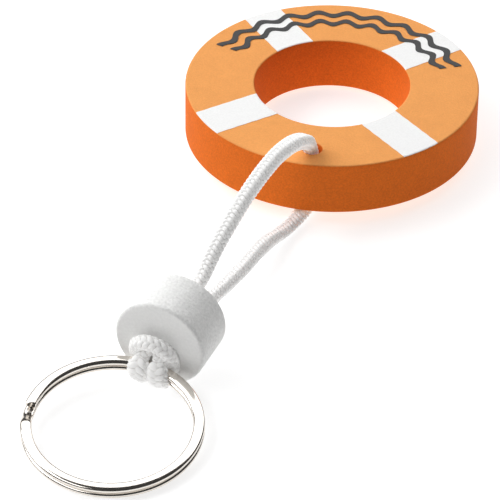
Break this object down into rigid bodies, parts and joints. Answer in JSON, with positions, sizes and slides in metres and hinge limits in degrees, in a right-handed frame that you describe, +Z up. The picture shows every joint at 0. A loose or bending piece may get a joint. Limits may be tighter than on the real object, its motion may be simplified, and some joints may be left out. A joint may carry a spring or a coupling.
{
  "type": "floating key ring",
  "caption": "Floating key ring: flat foam float shaped like a ring lifebuoy, braided cord loop, foam bead and steel split ring.",
  "frame": {"origin": "middle of the outline of the float, bead and split ring, on the surface that the key ring lies on", "axes": "+Z up from the surface, +Y along the key ring from the split ring to the float, +X to the right seen from the split ring"},
  "size_m": [0.0601, 0.1499, 0.0233],
  "materials": {
    "orange_foam": "matt closed-cell EVA foam, fine cell grain, rougher on the cut walls",
    "white_ink": "matt white print",
    "dark_ink": "matt dark grey print",
    "white_foam": "matt white closed-cell foam, grainy side, smooth ends",
    "white_cord": "white braided polyester",
    "nickel_plate": "bright nickel plate on spring steel"
  },
  "bodies": {
    "float_body": {"lifebuoy_float": "orange_foam", "white_band_1": "white_ink", "white_band_2": "white_ink", "white_band_3": "white_ink", "white_band_4": "white_ink", "wave_print_outer": "dark_ink", "wave_print_inner": "dark_ink"},
    "cord_body": {"cord_loop": "white_cord", "cord_standing_left": "white_cord", "cord_standing_right": "white_cord", "cord_bight": "white_cord"},
    "bead_body": {"foam_bead": "white_foam"},
    "hitch_body": {"cord_turn_left": "white_cord", "cord_turn_right": "white_cord"},
    "ring_body": {"split_ring": "nickel_plate"}
  },
  "joints": [
    {"name": "cord_turn", "type": "hinge", "parent": "float_body", "child": "cord_body", "pos_m": [0.00574, 0.02142, 0.01403], "axis": [0, 0, 1], "range_deg": [-60, 60]},
    {"name": "bead_slide", "type": "slide", "parent": "cord_body", "child": "bead_body", "axis": [0, 1, 0], "range_m": [0, 0.008], "deforming": ["cord_loop", "cord_standing_left", "cord_standing_right"]},
    {"name": "ring_swing", "type": "hinge", "parent": "cord_body", "child": "hitch_body", "pos_m": [0.0008, -0.04206, 0.00421], "axis": [-1, 0, 0], "range_deg": [0, 90], "deforming": ["cord_bight", "cord_turn_left", "cord_turn_right"]},
    {"name": "ring_spin", "type": "hinge", "parent": "hitch_body", "child": "ring_body", "pos_m": [-0.0001, -0.0579, 0.00158], "axis": [0.0452, -0.0872, 0.9952], "continuous": true}
  ]
}
